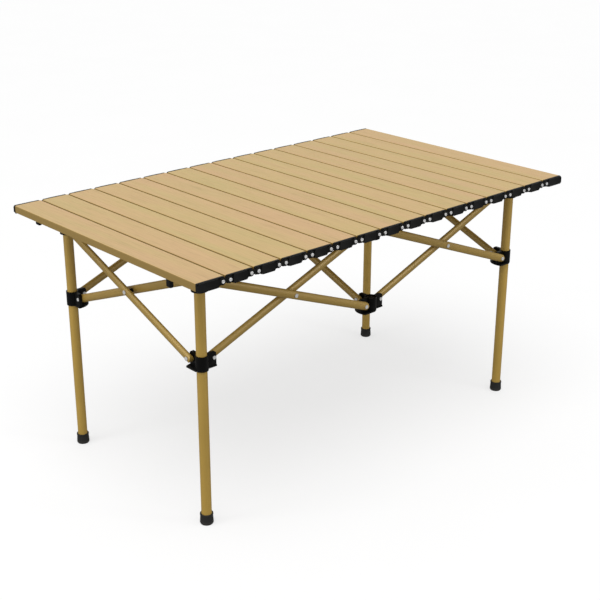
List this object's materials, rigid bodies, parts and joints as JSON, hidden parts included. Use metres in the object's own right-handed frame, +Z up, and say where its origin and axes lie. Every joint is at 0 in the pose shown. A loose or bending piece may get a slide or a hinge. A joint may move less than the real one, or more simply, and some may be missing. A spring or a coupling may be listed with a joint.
{
  "type": "folding_picnic_table",
  "caption": "Folding picnic table with a roll-up top of hollow slats lying on a collapsible scissor frame with upright corner legs",
  "frame": {"origin": "on the floor under the middle of the tabletop", "axes": "+X along the length of the top, +Y along the slats towards the back, +Z up"},
  "size_m": [0.95, 0.5778, 0.5],
  "materials": {
    "slat": "wood-grain film on a hollow aluminium slat, satin",
    "end_cap": "moulded plastic, fine texture, slight sheen",
    "leg": "satin khaki-gold powder coat",
    "arm": "satin khaki-gold powder coat",
    "hub": "moulded plastic, satin",
    "foot": "dull rubber",
    "rivet": "bright plated steel"
  },
  "bodies": {
    "frame_front_left": {"leg_front_left": "leg", "foot_front_left": "foot", "top_hub_front_left": "hub"},
    "arm_front_left_outer": {"arm_front_left_outer": "arm", "cross_rivet_front_left": "rivet"},
    "arm_front_left_inner": {"arm_front_left_inner": "arm"},
    "top_hub_front_middle": {"top_hub_front_middle": "hub"},
    "slider_front_left": {"slider_front_left": "hub"},
    "lower_hub_front_middle": {"lower_hub_front_middle": "hub"},
    "arm_front_right_outer": {"arm_front_right_outer": "arm", "cross_rivet_front_right": "rivet"},
    "arm_front_right_inner": {"arm_front_right_inner": "arm"},
    "frame_front_right": {"leg_front_right": "leg", "foot_front_right": "foot", "top_hub_front_right": "hub"},
    "slider_front_right": {"slider_front_right": "hub"},
    "arm_left_inner": {"arm_left_inner": "arm"},
    "arm_left_outer": {"arm_left_outer": "arm", "cross_rivet_left": "rivet"},
    "frame_back_left": {"leg_back_left": "leg", "foot_back_left": "foot", "top_hub_back_left": "hub"},
    "slider_back_left": {"slider_back_left": "hub"},
    "arm_back_left_inner": {"arm_back_left_inner": "arm"},
    "arm_back_left_outer": {"arm_back_left_outer": "arm", "cross_rivet_back_left": "rivet"},
    "top_hub_back_middle": {"top_hub_back_middle": "hub"},
    "lower_hub_back_middle": {"lower_hub_back_middle": "hub"},
    "arm_back_right_inner": {"arm_back_right_inner": "arm"},
    "arm_back_right_outer": {"arm_back_right_outer": "arm", "cross_rivet_back_right": "rivet"},
    "frame_back_right": {"leg_back_right": "leg", "foot_back_right": "foot", "top_hub_back_right": "hub"},
    "slider_back_right": {"slider_back_right": "hub"},
    "arm_middle_right": {"arm_middle_right": "arm"},
    "arm_middle_left": {"arm_middle_left": "arm", "cross_rivet_middle": "rivet"},
    "arm_right_outer": {"arm_right_outer": "arm", "cross_rivet_right": "rivet"},
    "arm_right_inner": {"arm_right_inner": "arm"},
    "slat_01": {"slat_01": "slat", "tabletop_clips": "end_cap"},
    "slat_02": {"slat_02": "slat"},
    "slat_03": {"slat_03": "slat"},
    "slat_04": {"slat_04": "slat"},
    "slat_05": {"slat_05": "slat"},
    "slat_06": {"slat_06": "slat"},
    "slat_07": {"slat_07": "slat"},
    "slat_08": {"slat_08": "slat"},
    "slat_09": {"slat_09": "slat"},
    "slat_10": {"slat_10": "slat"},
    "slat_11": {"slat_11": "slat"},
    "slat_12": {"slat_12": "slat"},
    "slat_13": {"slat_13": "slat"},
    "slat_14": {"slat_14": "slat"},
    "slat_15": {"slat_15": "slat"},
    "slat_16": {"slat_16": "slat"}
  },
  "joints": [
    {"name": "frame_fold", "type": "hinge", "parent": "frame_front_left", "child": "arm_front_left_outer", "pos_m": [-0.385, -0.2135, 0.461], "axis": [0, 1, 0], "range_deg": [0, 63]},
    {"name": "crossing_front_left", "type": "hinge", "parent": "arm_front_left_outer", "child": "arm_front_left_inner", "pos_m": [-0.205, -0.2135, 0.391], "axis": [0, -1, 0], "range_deg": [0, 130]},
    {"name": "front_left_inner_top_pivot", "type": "hinge", "parent": "arm_front_left_inner", "child": "top_hub_front_middle", "pos_m": [-0.025, -0.1965, 0.461], "axis": [0, 1, 0], "range_deg": [0, 65]},
    {"name": "front_left_inner_low_pivot", "type": "hinge", "parent": "arm_front_left_inner", "child": "slider_front_left", "pos_m": [-0.385, -0.1965, 0.321], "axis": [0, 1, 0], "range_deg": [0, 65]},
    {"name": "front_left_outer_low_pivot", "type": "hinge", "parent": "arm_front_left_outer", "child": "lower_hub_front_middle", "pos_m": [-0.025, -0.2135, 0.321], "axis": [0, -1, 0], "range_deg": [0, 65]},
    {"name": "front_right_outer_top_pivot", "type": "hinge", "parent": "top_hub_front_middle", "child": "arm_front_right_outer", "pos_m": [0.025, -0.2135, 0.461], "axis": [0, 1, 0], "range_deg": [0, 65]},
    {"name": "crossing_front_right", "type": "hinge", "parent": "arm_front_right_outer", "child": "arm_front_right_inner", "pos_m": [0.205, -0.2135, 0.391], "axis": [0, -1, 0], "range_deg": [0, 130]},
    {"name": "front_right_inner_top_pivot", "type": "hinge", "parent": "arm_front_right_inner", "child": "frame_front_right", "pos_m": [0.385, -0.1965, 0.461], "axis": [0, 1, 0], "range_deg": [0, 65]},
    {"name": "front_right_outer_low_pivot", "type": "hinge", "parent": "arm_front_right_outer", "child": "slider_front_right", "pos_m": [0.385, -0.2135, 0.321], "axis": [0, -1, 0], "range_deg": [0, 65]},
    {"name": "left_inner_top_pivot", "type": "hinge", "parent": "frame_front_left", "child": "arm_left_inner", "pos_m": [-0.4015, -0.18, 0.461], "axis": [-1, 0, 0], "range_deg": [0, 65]},
    {"name": "crossing_left", "type": "hinge", "parent": "arm_left_inner", "child": "arm_left_outer", "pos_m": [-0.4015, 0, 0.391], "axis": [1, 0, 0], "range_deg": [0, 130]},
    {"name": "left_outer_top_pivot", "type": "hinge", "parent": "arm_left_outer", "child": "frame_back_left", "pos_m": [-0.4185, 0.18, 0.461], "axis": [-1, 0, 0], "range_deg": [0, 65]},
    {"name": "left_inner_low_pivot", "type": "hinge", "parent": "arm_left_inner", "child": "slider_back_left", "pos_m": [-0.4015, 0.18, 0.321], "axis": [1, 0, 0], "range_deg": [0, 65]},
    {"name": "back_left_inner_top_pivot", "type": "hinge", "parent": "frame_back_left", "child": "arm_back_left_inner", "pos_m": [-0.385, 0.1965, 0.461], "axis": [0, 1, 0], "range_deg": [0, 65]},
    {"name": "crossing_back_left", "type": "hinge", "parent": "arm_back_left_inner", "child": "arm_back_left_outer", "pos_m": [-0.205, 0.1965, 0.391], "axis": [0, -1, 0], "range_deg": [0, 130]},
    {"name": "back_left_outer_top_pivot", "type": "hinge", "parent": "arm_back_left_outer", "child": "top_hub_back_middle", "pos_m": [-0.025, 0.2135, 0.461], "axis": [0, 1, 0], "range_deg": [0, 65]},
    {"name": "back_left_inner_low_pivot", "type": "hinge", "parent": "arm_back_left_inner", "child": "lower_hub_back_middle", "pos_m": [-0.025, 0.1965, 0.321], "axis": [0, -1, 0], "range_deg": [0, 65]},
    {"name": "back_right_inner_top_pivot", "type": "hinge", "parent": "top_hub_back_middle", "child": "arm_back_right_inner", "pos_m": [0.025, 0.1965, 0.461], "axis": [0, 1, 0], "range_deg": [0, 65]},
    {"name": "crossing_back_right", "type": "hinge", "parent": "arm_back_right_inner", "child": "arm_back_right_outer", "pos_m": [0.205, 0.1965, 0.391], "axis": [0, -1, 0], "range_deg": [0, 130]},
    {"name": "back_right_outer_top_pivot", "type": "hinge", "parent": "arm_back_right_outer", "child": "frame_back_right", "pos_m": [0.385, 0.2135, 0.461], "axis": [0, 1, 0], "range_deg": [0, 65]},
    {"name": "back_right_inner_low_pivot", "type": "hinge", "parent": "arm_back_right_inner", "child": "slider_back_right", "pos_m": [0.385, 0.1965, 0.321], "axis": [0, -1, 0], "range_deg": [0, 65]},
    {"name": "middle_right_top_pivot", "type": "hinge", "parent": "top_hub_front_middle", "child": "arm_middle_right", "pos_m": [0.0085, -0.18, 0.461], "axis": [-1, 0, 0], "range_deg": [0, 65]},
    {"name": "crossing_middle", "type": "hinge", "parent": "arm_middle_right", "child": "arm_middle_left", "pos_m": [0.0085, 0, 0.391], "axis": [1, 0, 0], "range_deg": [0, 130]},
    {"name": "right_outer_top_pivot", "type": "hinge", "parent": "frame_front_right", "child": "arm_right_outer", "pos_m": [0.4185, -0.18, 0.461], "axis": [-1, 0, 0], "range_deg": [0, 65]},
    {"name": "crossing_right", "type": "hinge", "parent": "arm_right_outer", "child": "arm_right_inner", "pos_m": [0.4185, 0, 0.391], "axis": [1, 0, 0], "range_deg": [0, 130]},
    {"name": "tabletop_roll", "type": "hinge", "parent": "frame_front_left", "child": "slat_01", "pos_m": [-0.475, 0, 0.486], "axis": [0, -1, 0], "range_deg": [0, 180]},
    {"name": "seam_01", "type": "hinge", "parent": "slat_01", "child": "slat_02", "pos_m": [-0.40934, 0, 0.4925], "axis": [0, 1, 0], "range_deg": [0, 30]},
    {"name": "seam_02", "type": "hinge", "parent": "slat_02", "child": "slat_03", "pos_m": [-0.34978, 0, 0.4925], "axis": [0, 1, 0], "range_deg": [0, 30]},
    {"name": "seam_03", "type": "hinge", "parent": "slat_03", "child": "slat_04", "pos_m": [-0.29021, 0, 0.4925], "axis": [0, 1, 0], "range_deg": [0, 30]},
    {"name": "seam_04", "type": "hinge", "parent": "slat_04", "child": "slat_05", "pos_m": [-0.23065, 0, 0.4925], "axis": [0, 1, 0], "range_deg": [0, 30]},
    {"name": "seam_05", "type": "hinge", "parent": "slat_05", "child": "slat_06", "pos_m": [-0.17109, 0, 0.4925], "axis": [0, 1, 0], "range_deg": [0, 30]},
    {"name": "seam_06", "type": "hinge", "parent": "slat_06", "child": "slat_07", "pos_m": [-0.11152, 0, 0.4925], "axis": [0, 1, 0], "range_deg": [0, 30]},
    {"name": "seam_07", "type": "hinge", "parent": "slat_07", "child": "slat_08", "pos_m": [-0.05196, 0, 0.4925], "axis": [0, 1, 0], "range_deg": [0, 30]},
    {"name": "seam_08", "type": "hinge", "parent": "slat_08", "child": "slat_09", "pos_m": [0.0076, 0, 0.4925], "axis": [0, 1, 0], "range_deg": [0, 30]},
    {"name": "seam_09", "type": "hinge", "parent": "slat_09", "child": "slat_10", "pos_m": [0.06716, 0, 0.4925], "axis": [0, 1, 0], "range_deg": [0, 30]},
    {"name": "seam_10", "type": "hinge", "parent": "slat_10", "child": "slat_11", "pos_m": [0.12673, 0, 0.4925], "axis": [0, 1, 0], "range_deg": [0, 30]},
    {"name": "seam_11", "type": "hinge", "parent": "slat_11", "child": "slat_12", "pos_m": [0.18629, 0, 0.4925], "axis": [0, 1, 0], "range_deg": [0, 30]},
    {"name": "seam_12", "type": "hinge", "parent": "slat_12", "child": "slat_13", "pos_m": [0.24585, 0, 0.4925], "axis": [0, 1, 0], "range_deg": [0, 30]},
    {"name": "seam_13", "type": "hinge", "parent": "slat_13", "child": "slat_14", "pos_m": [0.30541, 0, 0.4925], "axis": [0, 1, 0], "range_deg": [0, 30]},
    {"name": "seam_14", "type": "hinge", "parent": "slat_14", "child": "slat_15", "pos_m": [0.36497, 0, 0.4925], "axis": [0, 1, 0], "range_deg": [0, 30]},
    {"name": "seam_15", "type": "hinge", "parent": "slat_15", "child": "slat_16", "pos_m": [0.42454, 0, 0.4925], "axis": [0, 1, 0], "range_deg": [0, 30]}
  ],
  "couplings": [
    {"joint": "crossing_front_left", "follows": "frame_fold", "ratio": 2},
    {"joint": "front_left_inner_top_pivot", "follows": "frame_fold", "ratio": 1},
    {"joint": "front_left_inner_low_pivot", "follows": "frame_fold", "ratio": 1},
    {"joint": "front_left_outer_low_pivot", "follows": "frame_fold", "ratio": 1},
    {"joint": "front_right_outer_top_pivot", "follows": "frame_fold", "ratio": 1},
    {"joint": "crossing_front_right", "follows": "frame_fold", "ratio": 2},
    {"joint": "front_right_inner_top_pivot", "follows": "frame_fold", "ratio": 1},
    {"joint": "front_right_outer_low_pivot", "follows": "frame_fold", "ratio": 1},
    {"joint": "left_inner_top_pivot", "follows": "frame_fold", "ratio": 1},
    {"joint": "crossing_left", "follows": "frame_fold", "ratio": 2},
    {"joint": "left_outer_top_pivot", "follows": "frame_fold", "ratio": 1},
    {"joint": "left_inner_low_pivot", "follows": "frame_fold", "ratio": 1},
    {"joint": "back_left_inner_top_pivot", "follows": "frame_fold", "ratio": 1},
    {"joint": "crossing_back_left", "follows": "frame_fold", "ratio": 2},
    {"joint": "back_left_outer_top_pivot", "follows": "frame_fold", "ratio": 1},
    {"joint": "back_left_inner_low_pivot", "follows": "frame_fold", "ratio": 1},
    {"joint": "back_right_inner_top_pivot", "follows": "frame_fold", "ratio": 1},
    {"joint": "crossing_back_right", "follows": "frame_fold", "ratio": 2},
    {"joint": "back_right_outer_top_pivot", "follows": "frame_fold", "ratio": 1},
    {"joint": "back_right_inner_low_pivot", "follows": "frame_fold", "ratio": 1},
    {"joint": "middle_right_top_pivot", "follows": "frame_fold", "ratio": 1},
    {"joint": "crossing_middle", "follows": "frame_fold", "ratio": 2},
    {"joint": "right_outer_top_pivot", "follows": "frame_fold", "ratio": 1},
    {"joint": "crossing_right", "follows": "frame_fold", "ratio": 2},
    {"joint": "seam_01", "follows": "tabletop_roll", "ratio": 0.125},
    {"joint": "seam_02", "follows": "tabletop_roll", "ratio": 0.125},
    {"joint": "seam_03", "follows": "tabletop_roll", "ratio": 0.125},
    {"joint": "seam_04", "follows": "tabletop_roll", "ratio": 0.125},
    {"joint": "seam_05", "follows": "tabletop_roll", "ratio": 0.125},
    {"joint": "seam_06", "follows": "tabletop_roll", "ratio": 0.125},
    {"joint": "seam_07", "follows": "tabletop_roll", "ratio": 0.125},
    {"joint": "seam_08", "follows": "tabletop_roll", "ratio": 0.125},
    {"joint": "seam_09", "follows": "tabletop_roll", "ratio": 0.125},
    {"joint": "seam_10", "follows": "tabletop_roll", "ratio": 0.125},
    {"joint": "seam_11", "follows": "tabletop_roll", "ratio": 0.125},
    {"joint": "seam_12", "follows": "tabletop_roll", "ratio": 0.125},
    {"joint": "seam_13", "follows": "tabletop_roll", "ratio": 0.125},
    {"joint": "seam_14", "follows": "tabletop_roll", "ratio": 0.125},
    {"joint": "seam_15", "follows": "tabletop_roll", "ratio": 0.125}
  ]
}
